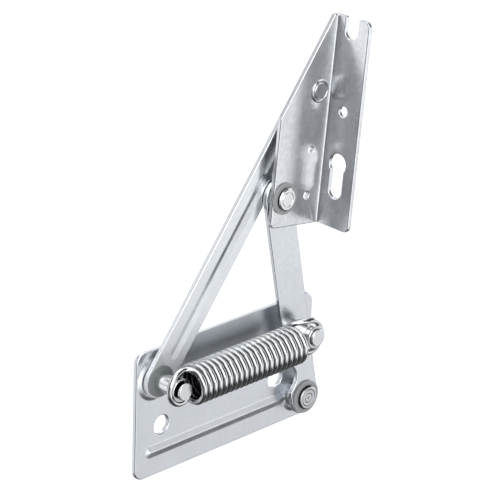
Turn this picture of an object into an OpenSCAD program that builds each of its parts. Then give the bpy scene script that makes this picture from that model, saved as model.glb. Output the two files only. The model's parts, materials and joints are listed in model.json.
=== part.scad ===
// Corner bench hinge: a four-bar seat hinge held open by a tension spring.
// X runs along the base plate, Z is up and the front of the hinge faces -Y.
// The origin lies midway between the two screw holes, on the back face of the plate.
// A depth is a distance in front of that back face, so a depth of 5 lies at Y = -5.

/* [Sheet metal] */
// Thickness of the plate, the arms and the bracket
sheet_t = 2; // [1.6:0.1:2.4]
// Free play between sheets that slide past each other
layer_gap = 0.3; // [0.2:0.05:0.5]

/* [Base plate] */
// Width of the plate
plate_w = 100; // [96:1:120]
// Height of the plate
plate_h = 54.4; // [53:0.2:70]
// Radius of the plate's corners
plate_corner_r = 4.5; // [2:0.5:6]
// Diameter of the two screw holes
screw_hole_d = 8; // [5:0.5:9]
// Distance between the screw holes
screw_spacing = 65; // [60:1:66]
// Left edge of the plate to the first screw hole
screw_in = 14; // [12:0.5:16]
// Bottom edge of the plate to the screw holes
screw_up = 20.9; // [20:0.1:24]
// Height of the pressed bosses under the pivots
boss_h = 0.8; // [0.5:0.1:1]
// Foot radius of the boss under the long arm
boss_a_r = 9.2; // [8.5:0.1:9.5]
// Foot radius of the boss under the lever
boss_b_r = 8.2; // [7.6:0.1:8.2]
// Width of the sloping edge of a boss
boss_slope = 1.7; // [1:0.1:2]
// Width of the long pressed bead
bead_w = 5.4; // [4:0.2:6]
// Height of the long pressed bead
bead_h = 0.7; // [0.4:0.1:0.7]
// Left edge of the plate to the start of the bead
bead_in = 5.5; // [4:0.5:10]
// How far the bead lies below the lever pivot
bead_drop = 0.3; // [0:0.1:1]

/* [Linkage] */
// Left edge of the plate to the long arm's pivot
pivot_a_in = 9.6; // [9.4:0.1:11]
// Bottom edge of the plate to the long arm's pivot
pivot_a_up = 42.3; // [41:0.1:44]
// Left edge of the plate to the lever's pivot
pivot_b_in = 91.7; // [90:0.1:91.8]
// Bottom edge of the plate to the lever's pivot
pivot_b_up = 11; // [10:0.1:12]
// Pivot distance of the long arm
long_arm_len = 130.4; // [128:0.1:134]
// Pivot distance of the lever
lever_len = 95.1; // [92:0.1:98]
// Angle of the long arm above the plate's length, seat up
long_arm_angle = 51.7; // [51:0.1:53]
// Angle of the lever above the plate's length, seat up
lever_angle = 102.1; // [100:0.1:103]
// Width of the long arm
long_arm_w = 14.5; // [13:0.1:15]
// Width of the lever
lever_w = 15.2; // [14:0.1:15.4]
// Width of the groove pressed into the long arm
groove_w = 3.3; // [2.6:0.1:3.8]
// Depth of that groove
groove_h = 0.7; // [0.4:0.1:0.8]
// Pivot to the nearer end of that groove
groove_in = 12; // [11:0.5:20]
// Distance of the groove from the middle of the long arm, on the lever's side
groove_side = 0.4; // [0:0.1:1]
// Radius of the cut-out in the lever that clears the screw
access_r = 7.4; // [6:0.1:7.6]

/* [Seat bracket] */
// Length of the bracket along its bend
bracket_len = 85.9; // [84:0.1:96]
// Lean of the bracket away from upright, seat up
bracket_lean = 5.1; // [3:0.1:7]
// Reach of the seat flange in front of the other flange
seat_flange_w = 16.6; // [16:0.1:22]
// Inside radius of the bend
bend_r = 1.2; // [0.8:0.1:1.3]
// Bottom of the bracket to the lever's rivet
bracket_foot = 13.2; // [11:0.1:15]
// Lever's rivet to the bracket's straight edge
rivet_d_edge = 6.1; // [5:0.1:8]
// Long arm's rivet to the inner face of the seat flange
rivet_c_edge = 6.1; // [6.1:0.1:9]
// Height of the corner where the straight edge turns inward
shoulder_up = 46.5; // [42:0.5:52]
// Width of the side flange that is left at its top
tip_w = 1.5; // [0.6:0.1:5]
// How far the side flange's bottom edge rises toward its free corner
foot_rise = 1.3; // [0:0.1:2]
// How far the seat flange's bottom edge falls toward its free corner
foot_fall = 0.5; // [0:0.1:1]
// Radius of the bracket's lower corners
bracket_corner_r = 2.6; // [1:0.1:4]
// Distance of the seat fixings from the flange's inner corner
fixing_in = 7.6; // [7:0.1:9]
// Height of the screw seat in the keyhole
keyhole_up = 15.4; // [12:0.1:18]
// Keyhole's wide end above its screw seat
keyhole_rise = 10.8; // [9:0.1:12]
// Diameter of the keyhole's wide end
keyhole_d = 8.5; // [8:0.1:10]
// Width of the keyhole's screw seat and of the top notch
slot_w = 6.7; // [5:0.1:7]
// Diameter of the round hole between keyhole and notch
pilot_d = 4.2; // [3:0.1:6]
// Diameter of the two small holes in the side flange
side_hole_d = 3; // [2:0.1:4]
// Distance of the small side holes from the seat flange
side_hole_in = 7.9; // [7.5:0.1:9]
// Height of the lower small side hole
low_side_hole_up = 12.4; // [11:0.1:14]
// Height of the upper small side hole
high_side_hole_up = 31.2; // [29:0.1:34]

/* [Pivots] */
// Radial play of a rivet in the part that turns on it
running_play = 0.05; // [0.02:0.01:0.1]
// Radius of the plain rivets
rivet_r = 3; // [2.5:0.1:3.2]
// Thickness of a washer under a rivet head
washer_t = 1; // [0.8:0.1:1.2]
// Thickness of a washer between two sheets
thin_washer_t = 0.4; // [0.3:0.05:0.6]
// Radius of the washer under the lever's lower rivet
washer_b_r = 7; // [6:0.1:7.4]
// Radius of the washer under the bracket rivet
washer_d_r = 6.5; // [5.6:0.1:7]
// Radius of the washer on the long arm
washer_a_r = 6.5; // [5.6:0.1:7]
// Radius of the hidden washers and spacers
spacer_r = 6; // [5:0.1:6.4]
// Radius of the lever's lower rivet head
head_b_r = 5.1; // [4.5:0.1:5.8]
// Radius of the bracket rivet's head
head_d_r = 4.7; // [4:0.1:5.4]
// Radius of the long arm rivet's head
head_c_r = 4.8; // [4.2:0.1:4.8]
// Height of the two lower rivet heads
head_t = 1.3; // [1:0.1:1.6]
// Height of the long arm rivet's flat head
flat_head_t = 0.6; // [0.4:0.1:1.2]

/* [Spring] */
// Diameter of the wire
wire_d = 2.3; // [1.8:0.1:2.4]
// Radius of the coils, to the middle of the wire
coil_r = 7.2; // [6.6:0.1:7.6]
// Least free space between two coils
coil_gap = 0.45; // [0.42:0.01:0.8]
// Depth of the spring's middle in front of the mounting face
spring_depth = 15.4; // [15.2:0.1:18]
// Distance from the lever's pivot to the spring stud, along the lever
stud_e_along = 31.8; // [30:0.1:34]
// Distance of the spring stud from the middle of the lever
stud_e_side = 1.2; // [0:0.1:1.4]
// Middle of the near hook to the first coil
near_neck = 3.3; // [3.2:0.1:5]
// Middle of the far hook to the last coil
far_neck = 8.1; // [6:0.1:9]
// Radius of the studs' shanks
stud_core_r = 2.9; // [2.4:0.1:3]
// Radius of the groove that holds a hook
stud_groove_r = 3.3; // [3.1:0.1:3.6]
// Radius of the collar in front of a hook
stud_collar_r = 4.8; // [4.2:0.1:5.2]
// Radius of the studs' end faces
stud_head_r = 3.6; // [3.2:0.1:4]
// Outside radius of the spacer sleeves
sleeve_r = 3.8; // [3.5:0.1:4]

/* [Hidden] */
$fn = 64;
// How far a cut runs on past the faces it opens
cut = 1;

// Points in the plane of the plate, as [x, z]
plate_left = -screw_in - screw_spacing / 2;
plate_low = -screw_up;
function on_plate(along, up) = [plate_left + along, plate_low + up];
function turned(length, angle) = length * [cos(angle), sin(angle)];
pivot_a = on_plate(pivot_a_in, pivot_a_up);
pivot_b = on_plate(pivot_b_in, pivot_b_up);
pivot_c = pivot_a + turned(long_arm_len, long_arm_angle);
pivot_d = pivot_b + turned(lever_len, lever_angle);
stud_e = pivot_b + turned(stud_e_along, lever_angle) + turned(stud_e_side, lever_angle - 90);
screws = [on_plate(screw_in, screw_up), on_plate(screw_in + screw_spacing, screw_up)];

// Depths of the layers, from the mounting face to the front
boss_top = sheet_t + boss_h;
long_arm_back = boss_top + thin_washer_t;
long_arm_front = long_arm_back + sheet_t;
lever_back = long_arm_front + layer_gap;
lever_front = lever_back + sheet_t;
bracket_back = lever_front + thin_washer_t;
bracket_front = bracket_back + sheet_t;

// The pressed bead and groove are arcs, given by their width and height
function arc_r(width, height) = (width * width / 4 + height * height) / (2 * height);
bead_r = arc_r(bead_w, bead_h);
groove_r = arc_r(groove_w, groove_h);
boss_turn = atan(boss_h / boss_slope);
boss_inset = sheet_t * tan(boss_turn / 2);

// The bracket's own axes run along its bend and square to it, from the lever's rivet
bend_dir = [sin(bracket_lean), cos(bracket_lean)];
side_dir = [cos(bracket_lean), -sin(bracket_lean)];
c_up = (pivot_c - pivot_d) * bend_dir + bracket_foot;
c_side = (pivot_c - pivot_d) * side_dir;
bend_side = c_side + rivet_c_edge;
bracket_w = bend_side + rivet_d_edge;
bracket_corner = pivot_d - bracket_foot * bend_dir + bend_side * side_dir;
outer_bend_r = bend_r + sheet_t;
notch_up = keyhole_up + screw_spacing;
pilot_up = keyhole_up + screw_spacing / 2;

// The lever's rivet tail is the open stop: the long arm's edge comes to rest on it
stop_play = 0.25;
arm_normal = [-sin(long_arm_angle), cos(long_arm_angle)];
d_from_arm = abs((pivot_d - pivot_a) * arm_normal);
stop_r = min(rivet_r + 1.2, d_from_arm - long_arm_w / 2 - stop_play);
stop_t = sheet_t;

// The studs share one profile in front of their sleeves
hook_play = 0.3;
stud_groove_back = spring_depth - wire_d / 2 - hook_play;
stud_collar_back = spring_depth + wire_d / 2 + hook_play / 2;
collar_t = 0.8;
stud_neck_r = stud_groove_r - 0.3;
near_stud_neck = 1.2;
far_stud_neck = 0.2;
stud_head_t = 1;
back_head_play = 0.1;

module layer(back, thick) {
    translate([0, -back, 0])
        rotate([90, 0, 0])
            linear_extrude(thick)
                children();
}

module disc(at, back, thick, r) {
    translate([at[0], -back, at[1]])
        rotate([90, 0, 0])
            cylinder(h = thick, r = r);
}

module taper(at, back, thick, back_r, front_r) {
    translate([at[0], -back, at[1]])
        rotate([90, 0, 0])
            cylinder(h = thick, r1 = back_r, r2 = front_r);
}

module hole(at, back, front, r) {
    disc(at, back - cut, front - back + 2 * cut, r);
}

module ring(at, back, thick, outer, inner) {
    difference() {
        disc(at, back, thick, outer);
        hole(at, back, back + thick, inner);
    }
}

// A disc whose front rim is bevelled
module bevelled_disc(at, back, thick, r) {
    bevel = thick * 0.4;
    disc(at, back, thick - bevel, r);
    taper(at, back + thick - bevel, bevel, r, r - bevel);
}

// A rivet head with a bevelled rim and a slightly sunk middle
module pressed_head(at, back, r) {
    dish_r = r * 0.55;
    dish_t = head_t * 0.15;
    difference() {
        bevelled_disc(at, back, head_t, r);
        ring(at, back + head_t - dish_t, dish_t + cut, dish_r, dish_r * 0.72);
        translate([at[0], -back - head_t - dish_r * 0.1, at[1]])
            sphere(r = dish_r * 0.4);
    }
}

// A straight bar with round ends at two pivots
module link_2d(from, to, width) {
    span = norm(to - from);
    heading = atan2(to[1] - from[1], to[0] - from[0]);
    translate(from)
        circle(d = width);
    translate(to)
        circle(d = width);
    translate(from)
        rotate(heading)
            translate([0, -width / 2])
                square([span, width]);
}

module rounded_rect_2d(low, size, r) {
    for (x = [low[0] + r, low[0] + size[0] - r], y = [low[1] + r, low[1] + size[1] - r])
        translate([x, y])
            circle(r = r);
    translate(low + [r, 0])
        square(size - [2 * r, 0]);
    translate(low + [0, r])
        square(size - [0, 2 * r]);
}

// A round bar with ball ends, whose middle line runs between two points at one depth
module bead_bar(from, to, depth, r) {
    span = norm(to - from);
    heading = atan2(to[1] - from[1], to[0] - from[0]);
    translate([from[0], -depth, from[1]])
        rotate([0, -heading, 0]) {
            rotate([0, 90, 0])
                cylinder(h = span, r = r);
            sphere(r = r);
            translate([span, 0, 0])
                sphere(r = r);
        }
}

bead_from = [plate_left + bead_in + bead_w / 2, pivot_b[1] - bead_drop];
bead_to = [pivot_b[0] - boss_b_r + boss_slope, pivot_b[1] - bead_drop];
bead_middle = sheet_t + bead_h - bead_r;

module bead_face() {
    intersection() {
        bead_bar(bead_from, bead_to, bead_middle, bead_r);
        layer(sheet_t / 2, sheet_t)
            translate([plate_left, plate_low])
                square([plate_w, plate_h]);
    }
}

module boss(at, foot_r, back) {
    inset = back == 0 ? boss_inset : 0;
    taper(at, back, boss_h, foot_r - inset, foot_r - inset - boss_slope);
}

module base_plate() {
    color("silver")
        difference() {
            union() {
                layer(0, sheet_t)
                    rounded_rect_2d([plate_left, plate_low], [plate_w, plate_h], plate_corner_r);
                boss(pivot_a, boss_a_r, sheet_t);
                boss(pivot_b, boss_b_r, sheet_t);
                bead_face();
            }
            boss(pivot_a, boss_a_r, 0);
            boss(pivot_b, boss_b_r, 0);
            bead_bar(bead_from, bead_to, bead_middle, bead_r - sheet_t);
            for (at = screws)
                hole(at, 0, sheet_t, screw_hole_d / 2);
            hole(pivot_a, 0, boss_top, stud_core_r);
            hole(pivot_b, 0, boss_top, rivet_r);
        }
}

// The riveted tail sits in the boss, so the plate still lies flat
module back_head(at, r) {
    disc(at, back_head_play, boss_h - back_head_play, r);
}

// The groove, collar and round end that hold a spring hook
module stud_end(at, neck) {
    collar_front = stud_collar_back + collar_t;
    disc(at, stud_groove_back, stud_collar_back - stud_groove_back, stud_groove_r);
    disc(at, stud_collar_back, collar_t, stud_collar_r);
    disc(at, collar_front, neck, stud_neck_r);
    bevelled_disc(at, collar_front + neck, stud_head_t, stud_head_r);
}

module pivot_stud() {
    color("gainsboro") {
        back_head(pivot_a, stud_core_r + 2);
        disc(pivot_a, boss_h, stud_groove_back - boss_h, stud_core_r);
        stud_end(pivot_a, near_stud_neck);
    }
}

module rear_washer_a() {
    color("dimgray")
        ring(pivot_a, boss_top, thin_washer_t, spacer_r, stud_core_r);
}

module front_washer_a() {
    color("dimgray")
        ring(pivot_a, long_arm_front, washer_t, washer_a_r, stud_core_r);
}

module sleeve_a() {
    back = long_arm_front + washer_t + running_play;
    color("gainsboro")
        ring(pivot_a, back, stud_groove_back - back - running_play, sleeve_r, stud_core_r + running_play);
}

module long_arm() {
    groove_from = pivot_a + turned(groove_in, long_arm_angle) - groove_side * arm_normal;
    groove_to = pivot_c - turned(groove_in, long_arm_angle) - groove_side * arm_normal;
    groove_middle = long_arm_front - groove_h + groove_r;
    color("silver")
        difference() {
            union() {
                layer(long_arm_back, sheet_t)
                    link_2d(pivot_a, pivot_c, long_arm_w);
                intersection() {
                    bead_bar(groove_from, groove_to, groove_middle, groove_r + sheet_t);
                    layer(long_arm_back - groove_h - cut, groove_h + cut + sheet_t / 2)
                        link_2d(pivot_a, pivot_c, long_arm_w);
                }
            }
            bead_bar(groove_from, groove_to, groove_middle, groove_r);
            hole(pivot_a, long_arm_back, long_arm_front, stud_core_r + running_play);
            hole(pivot_c, long_arm_back, long_arm_front, rivet_r);
        }
}

// The rear half of the upper rivet, which stays with the long arm
module rivet_c_tail() {
    color("gainsboro") {
        disc(pivot_c, long_arm_back, sheet_t, rivet_r);
        disc(pivot_c, long_arm_back - boss_h, boss_h, rivet_r + 1.4);
    }
}

module rivet_b() {
    color("gainsboro") {
        back_head(pivot_b, rivet_r + 2);
        disc(pivot_b, boss_h, lever_front + washer_t - boss_h, rivet_r);
        pressed_head(pivot_b, lever_front + washer_t, head_b_r);
    }
}

module spacer_b() {
    color("gainsboro")
        ring(pivot_b, boss_top, lever_back - boss_top - running_play, spacer_r, rivet_r);
}

module front_washer_b() {
    color("dimgray")
        ring(pivot_b, lever_front + running_play, washer_t - running_play, washer_b_r, rivet_r);
}

module lever_arm() {
    color("silver")
        difference() {
            layer(lever_back, sheet_t)
                link_2d(pivot_b, pivot_d, lever_w);
            hole(screws[1], lever_back, lever_front, access_r);
            hole(pivot_b, lever_back, lever_front, rivet_r + running_play);
            hole(pivot_d, lever_back, lever_front, rivet_r);
            hole(stud_e, lever_back, lever_front, stud_core_r);
        }
}

module rivet_d() {
    color("gainsboro") {
        disc(pivot_d, lever_back - stop_t, stop_t, stop_r);
        disc(pivot_d, lever_back, bracket_front + washer_t - lever_back, rivet_r);
        pressed_head(pivot_d, bracket_front + washer_t, head_d_r);
    }
}

module middle_washer_d() {
    color("dimgray")
        ring(pivot_d, lever_front, thin_washer_t - running_play, spacer_r, rivet_r);
}

module front_washer_d() {
    color("dimgray")
        ring(pivot_d, bracket_front + running_play, washer_t - running_play, washer_d_r, rivet_r);
}

module spring_stud() {
    color("gainsboro") {
        disc(stud_e, lever_back, stud_groove_back - lever_back, stud_core_r);
        stud_end(stud_e, far_stud_neck);
    }
}

module sleeve_e() {
    color("gainsboro")
        ring(stud_e, lever_front, stud_groove_back - lever_front, sleeve_r, stud_core_r);
}

// Places its children on the bracket: X square to the seat flange, Z up along the bend
module on_bracket() {
    translate([bracket_corner[0], 0, bracket_corner[1]])
        rotate([0, bracket_lean, 0])
            children();
}

// The bent strip seen from its end, before its outline is cut
module bent_strip_2d() {
    difference() {
        union() {
            translate([-bracket_w, -bracket_front])
                square([bracket_w + sheet_t, sheet_t]);
            translate([0, -bracket_front - seat_flange_w])
                square([sheet_t, seat_flange_w + sheet_t]);
            translate([-bend_r, -bracket_front - bend_r])
                square(bend_r);
        }
        translate([-bend_r, -bracket_front - bend_r])
            circle(r = bend_r);
        difference() {
            translate([sheet_t - outer_bend_r, -bracket_back - outer_bend_r])
                square(outer_bend_r + cut);
            translate([sheet_t - outer_bend_r, -bracket_back - outer_bend_r])
                circle(r = outer_bend_r);
        }
    }
}

// The side flange's outline, with one rounded lower corner and a slanted edge
module side_outline_2d() {
    r = bracket_corner_r;
    difference() {
        polygon([
            [-bracket_w, foot_rise],
            [-outer_bend_r, 0],
            [-bend_r, 0],
            [-bend_r, -foot_fall],
            [sheet_t + cut, -foot_fall],
            [sheet_t + cut, bracket_len],
            [-tip_w, bracket_len],
            [-bracket_w, shoulder_up]
        ]);
        difference() {
            translate([-bracket_w - cut, -cut])
                square([r + cut, r + cut + foot_rise]);
            translate([-bracket_w + r, r + foot_rise])
                circle(r = r);
        }
    }
}

// The wedge below the seat flange, which leaves its bottom edge sloping
module foot_wedge() {
    low = -foot_fall - cut;
    reach = -bracket_front - seat_flange_w - cut;
    translate([-bend_r - cut, 0, 0])
        rotate([90, 0, 90])
            linear_extrude(bend_r + sheet_t + 2 * cut)
                polygon([[0, 0], [-bracket_front, 0], [reach + cut, -foot_fall], [reach, low], [0, low]]);
}

// Rounds one outer corner of the seat flange, at a height and turned up or down
module flange_corner(up, r, turn) {
    translate([-cut, -bracket_front - seat_flange_w, up])
        mirror([0, 0, turn])
            rotate([0, 90, 0])
                linear_extrude(sheet_t + 2 * cut)
                    difference() {
                        translate([-r, -cut])
                            square([r + cut, r + cut]);
                        translate([-r, r])
                            circle(r = r);
                    }
}

// A hole through the seat flange, at a height on the line of fixings
module fixing_hole(up, d) {
    translate([-cut, -bracket_front - fixing_in, up])
        rotate([0, 90, 0])
            cylinder(h = sheet_t + 2 * cut, d = d);
}

module fixing_slot(low, high, width) {
    fixing_hole(low, width);
    translate([-cut, -bracket_front - fixing_in - width / 2, low])
        cube([sheet_t + 2 * cut, width, high - low]);
}

module seat_bracket() {
    color("silver")
        difference() {
            on_bracket()
                difference() {
                    intersection() {
                        translate([0, 0, -foot_fall])
                            linear_extrude(bracket_len + foot_fall)
                                bent_strip_2d();
                        layer(0, bracket_front + seat_flange_w + cut)
                            side_outline_2d();
                    }
                    fixing_slot(keyhole_up, keyhole_up + keyhole_rise, slot_w);
                    fixing_hole(keyhole_up + keyhole_rise, keyhole_d);
                    fixing_hole(pilot_up, pilot_d);
                    fixing_slot(notch_up, bracket_len + cut, slot_w);
                    foot_wedge();
                    flange_corner(-foot_fall, bracket_corner_r, 0);
                    flange_corner(bracket_len, bracket_corner_r, 1);
                    for (up = [low_side_hole_up, high_side_hole_up])
                        hole([-side_hole_in, up], bracket_back, bracket_front, side_hole_d / 2);
                }
            hole(pivot_d, bracket_back, bracket_front, rivet_r + running_play);
            hole(pivot_c, bracket_back, bracket_front, rivet_r);
        }
}

// The front half of the upper rivet, which stays with the bracket
module rivet_c() {
    color("gainsboro") {
        disc(pivot_c, lever_back, bracket_front - lever_back, rivet_r);
        bevelled_disc(pivot_c, bracket_front, flat_head_t, head_c_r);
    }
}

module spacer_c() {
    color("gainsboro")
        ring(pivot_c, lever_back, bracket_back - lever_back, spacer_r, rivet_r);
}

// Spring: one wire from the near hook through the coils to the far hook.
// Its own axes run from stud to stud, with Y towards the mounting face.
wire_sides = 6;
coil_rings = 8;
hook_rings = 24;
bend_rings = 8;
spring_run = stud_e - pivot_a;
spring_span = norm(spring_run);
spring_heading = atan2(spring_run[1], spring_run[0]);
hook_offset = coil_r - wire_d / 2 - stud_groove_r - hook_play / 2;
near_hook_x = hook_offset;
far_hook_x = spring_span - hook_offset;
coil_from = near_hook_x + near_neck;
coil_to = far_hook_x - far_neck;
coil_turns = floor((coil_to - coil_from) / (wire_d + coil_gap));
coil_pitch = (coil_to - coil_from) / coil_turns;
leave_angle = 50;
hook_join = 125;
far_hook_join = 100;
hook_end = 300;
hook_tuck = 1.6;

function coil_point(turn) = [
    coil_from + coil_pitch * turn,
    -coil_r * sin(360 * turn),
    coil_r * cos(360 * turn)
];
// A hook opens from its top round the outside, and its cut end is tucked in
function hook_radius(angle) = coil_r - hook_tuck * max(0, angle - 180) / (hook_end - 180);
function hook_point(x, angle) = [x + hook_radius(angle) * cos(angle), 0, hook_radius(angle) * sin(angle)];
function bezier(p, q, r, s, t) =
    pow(1 - t, 3) * p + 3 * t * pow(1 - t, 2) * q + 3 * t * t * (1 - t) * r + pow(t, 3) * s;
function unit(v) = v / norm(v);
function spun(p) = [spring_span - p[0], -p[1], p[2]];

// The hook and its bend for the left end, from the cut end to the first coil
function hook_path(x, join, first_coil, coil_heading, rings) =
    let (
        joint = hook_point(x, join),
        heading = unit([sin(join), 0, -cos(join)]),
        reach = norm(first_coil - joint) * 0.42
    )
    concat(
        [for (i = [0 : rings - 1]) hook_point(x, hook_end + (join - hook_end) * i / rings)],
        [for (i = [0 : bend_rings - 1])
            bezier(joint, joint + reach * heading, first_coil - reach * coil_heading, first_coil,
                i / bend_rings)]
    );

leave_turn = leave_angle / 360;
first_coil = coil_point(leave_turn);
first_heading = unit(coil_point(leave_turn + 0.01) - first_coil);
last_coil = coil_point(coil_turns - leave_turn);
last_heading = unit(last_coil - coil_point(coil_turns - leave_turn - 0.01));
coil_steps = round((coil_turns - 2 * leave_turn) * coil_rings);

function coil_path() = [
    for (i = [0 : coil_steps])
        coil_point(leave_turn + (coil_turns - 2 * leave_turn) * i / coil_steps)
];
function reversed(list) = [for (i = [len(list) - 1 : -1 : 0]) list[i]];
spring_path = concat(
    hook_path(near_hook_x, hook_join, first_coil, first_heading, hook_rings),
    coil_path(),
    reversed([
        for (p = hook_path(spring_span - far_hook_x, far_hook_join, spun(last_coil),
            unit(spun(last_coil - last_heading) - spun(last_coil)), hook_rings))
            spun(p)
    ])
);

function heading_at(path, i) = unit(path[min(i + 1, len(path) - 1)] - path[max(i - 1, 0)]);
function squared(v, along) = unit(v - (v * along) * along);
function side_dirs(path) = [
    for (i = 0, side = squared([0, 1, 0], heading_at(path, 0));
        i < len(path);
        i = i + 1, side = i < len(path) ? squared(side, heading_at(path, i)) : side)
        side
];

module wire(path, r) {
    count = len(path);
    dirs = side_dirs(path);
    points = [
        for (i = [0 : count - 1], k = [0 : wire_sides - 1])
            let (turn = 360 * k / wire_sides, along = heading_at(path, i))
            path[i] + r * (cos(turn) * dirs[i] + sin(turn) * cross(along, dirs[i]))
    ];
    function index(i, k) = i * wire_sides + k % wire_sides;
    walls = [
        for (i = [0 : count - 2], k = [0 : wire_sides - 1], half = [0, 1])
            half == 0
                ? [index(i, k), index(i, k + 1), index(i + 1, k + 1)]
                : [index(i, k), index(i + 1, k + 1), index(i + 1, k)]
    ];
    caps = [
        for (k = [1 : wire_sides - 2], end = [0, 1])
            end == 0
                ? [index(0, 0), index(0, k + 1), index(0, k)]
                : [index(count - 1, 0), index(count - 1, k), index(count - 1, k + 1)]
    ];
    polyhedron(points, concat(walls, caps));
}

// Least free space of the wire to itself, between rings more than half a coil apart
function least_gap(path) = min([
    for (i = [0 : len(path) - 1], j = [i + 5 : 1 : len(path) - 1])
        norm(path[i] - path[j])
]) - wire_d;

module spring() {
    color("lightgray")
        translate([pivot_a[0], -spring_depth, pivot_a[1]])
            rotate([0, -spring_heading, 0])
                wire(spring_path, wire_d / 2);
}

echo(turns = coil_turns, pitch = coil_pitch, least_gap = least_gap(spring_path));  // spring

base_plate();
pivot_stud();
rear_washer_a();
front_washer_a();
sleeve_a();
long_arm();
rivet_c_tail();
rivet_b();
spacer_b();
front_washer_b();
lever_arm();
rivet_d();
middle_washer_d();
front_washer_d();
spring_stud();
sleeve_e();
seat_bracket();
rivet_c();
spacer_c();
spring();
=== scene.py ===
import json
import math
from collections import namedtuple

import bpy
import numpy as np
from mathutils import Matrix, Vector
from mathutils.geometry import delaunay_2d_cdt


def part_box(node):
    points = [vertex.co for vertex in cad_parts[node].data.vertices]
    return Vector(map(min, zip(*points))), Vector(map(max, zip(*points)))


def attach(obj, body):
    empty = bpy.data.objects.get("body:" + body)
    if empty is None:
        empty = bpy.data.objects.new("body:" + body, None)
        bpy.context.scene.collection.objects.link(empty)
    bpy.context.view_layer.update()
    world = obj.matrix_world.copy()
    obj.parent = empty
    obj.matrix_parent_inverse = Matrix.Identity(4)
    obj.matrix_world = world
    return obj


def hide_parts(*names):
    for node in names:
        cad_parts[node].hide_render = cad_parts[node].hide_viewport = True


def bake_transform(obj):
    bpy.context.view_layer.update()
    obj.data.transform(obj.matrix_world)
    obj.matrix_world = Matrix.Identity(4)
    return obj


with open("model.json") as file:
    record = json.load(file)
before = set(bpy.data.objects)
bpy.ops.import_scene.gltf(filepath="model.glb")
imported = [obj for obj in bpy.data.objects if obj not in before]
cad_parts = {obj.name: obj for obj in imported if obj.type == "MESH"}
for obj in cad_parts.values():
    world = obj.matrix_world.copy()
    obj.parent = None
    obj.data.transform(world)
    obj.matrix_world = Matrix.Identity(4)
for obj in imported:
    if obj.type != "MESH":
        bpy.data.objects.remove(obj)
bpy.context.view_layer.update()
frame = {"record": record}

# The dressed corner bench hinge. Lengths are in millimetres until they go into a mesh, in the frame's
# axes: X along the wall plate, Z up, the front towards -Y. A depth is a distance in front of the
# plate's back face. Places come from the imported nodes, shapes from the same dimensions as in part.scad.
MM = 0.001
TINY = 1e-6

SHEET_T = 2.0
EDGE_R = 0.5
EDGE_STEPS = 3
PLAY = 0.05
STUD_R = 2.9
RIVET_R = 3.0
WIRE_D = 2.5
SPRING_DEPTH = 15.4

Round = namedtuple("Round", "middle back front r")


def measure(node):
    """A CAD node's middle in the plate's plane, its back and front depth, and its radius."""
    low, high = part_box(node)
    middle = np.array([low.x + high.x, low.z + high.z]) / 2 / MM
    return Round(middle, -high.y / MM, -low.y / MM, (high.x - low.x) / 2 / MM)


def unit(v):
    return v / np.linalg.norm(v)


def turned(length, angle):
    """A vector of this length at this angle from the X axis, in degrees."""
    return length * np.array([math.cos(math.radians(angle)), math.sin(math.radians(angle))])


def heading(v):
    """A vector's angle from the X axis, in degrees."""
    return math.degrees(math.atan2(v[1], v[0]))


washer_b = measure("front_washer_b")
washer_d = measure("front_washer_d")
sleeve_e = measure("sleeve_e")
pivot_a = measure("front_washer_a").middle
pivot_b = washer_b.middle
pivot_c = measure("rivet_c").middle
pivot_d = washer_d.middle
stud_e = sleeve_e.middle
plate_low, plate_high = (np.array([corner.x, corner.z]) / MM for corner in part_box("base_plate"))
arm_back = measure("rear_washer_a").front
lever_back = washer_b.back - PLAY - SHEET_T
bracket_front = washer_d.back - PLAY
collar_back = SPRING_DEPTH + WIRE_D / 2 + PLAY

node_body = {
    node: body
    for body, nodes in frame["record"]["behaviour"]["bodies"].items()
    for node in nodes
}


# Outlines. A loop is an array of points with the material on its left: the outline runs
# anticlockwise and a hole clockwise, seen from the front.

def arc(middle, r, start, stop, steps):
    turns = np.radians(np.linspace(start, stop, steps + 1))
    return np.asarray(middle) + r * np.column_stack([np.cos(turns), np.sin(turns)])


def circle(middle, r, steps=72):
    return arc(middle, r, 0, 360, steps)[:-1]


def hole(middle, r, steps=72):
    return circle(middle, r, steps)[::-1]


def stadium(start, stop, r, steps=20):
    along = heading(stop - start)
    return np.vstack([
        arc(stop, r, along - 90, along + 90, steps),
        arc(start, r, along + 90, along + 270, steps),
    ])


def rounded(corners, steps=8, closed=True):
    """A line through corners (x, y, radius), each rounded to its radius."""
    places = np.array([corner[:2] for corner in corners], float)
    last = len(corners) - 1
    points = []
    for i, (here, corner) in enumerate(zip(places, corners)):
        r = corner[2]
        if r == 0 or (not closed and i in (0, last)):
            points.append(here)
            continue
        back = unit(places[i - 1] - here)
        ahead = unit(places[(i + 1) % len(places)] - here)
        half = math.acos(np.clip(back @ ahead, -1, 1)) / 2
        middle = here + unit(back + ahead) * r / math.sin(half)
        begin = here + back * r / math.tan(half) - middle
        end = here + ahead * r / math.tan(half) - middle
        sweep = math.degrees(math.atan2(begin[0] * end[1] - begin[1] * end[0], begin @ end))
        points.extend(arc(middle, r, heading(begin), heading(begin) + sweep, steps))
    return np.array(points)


def outward(loop):
    """Unit normals away from the material, which lean to the longer of the two edges at a point."""
    ahead = np.roll(loop, -1, axis=0) - loop
    right = np.column_stack([ahead[:, 1], -ahead[:, 0]])
    both = right + np.roll(right, 1, axis=0)
    return both / np.linalg.norm(both, axis=1)[:, None]


def inside(points, loops):
    """Whether each point lies in the material that the loops bound."""
    crossings = np.zeros(len(points), int)
    for loop in loops:
        for (ax, ay), (bx, by) in zip(loop, np.roll(loop, -1, axis=0)):
            if ay == by:
                continue
            beside = (points[:, 1] > min(ay, by)) & (points[:, 1] <= max(ay, by))
            edge_x = ax + (points[:, 1] - ay) * (bx - ax) / (by - ay)
            crossings += beside & (points[:, 0] < edge_x)
    return crossings % 2 == 1


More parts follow.
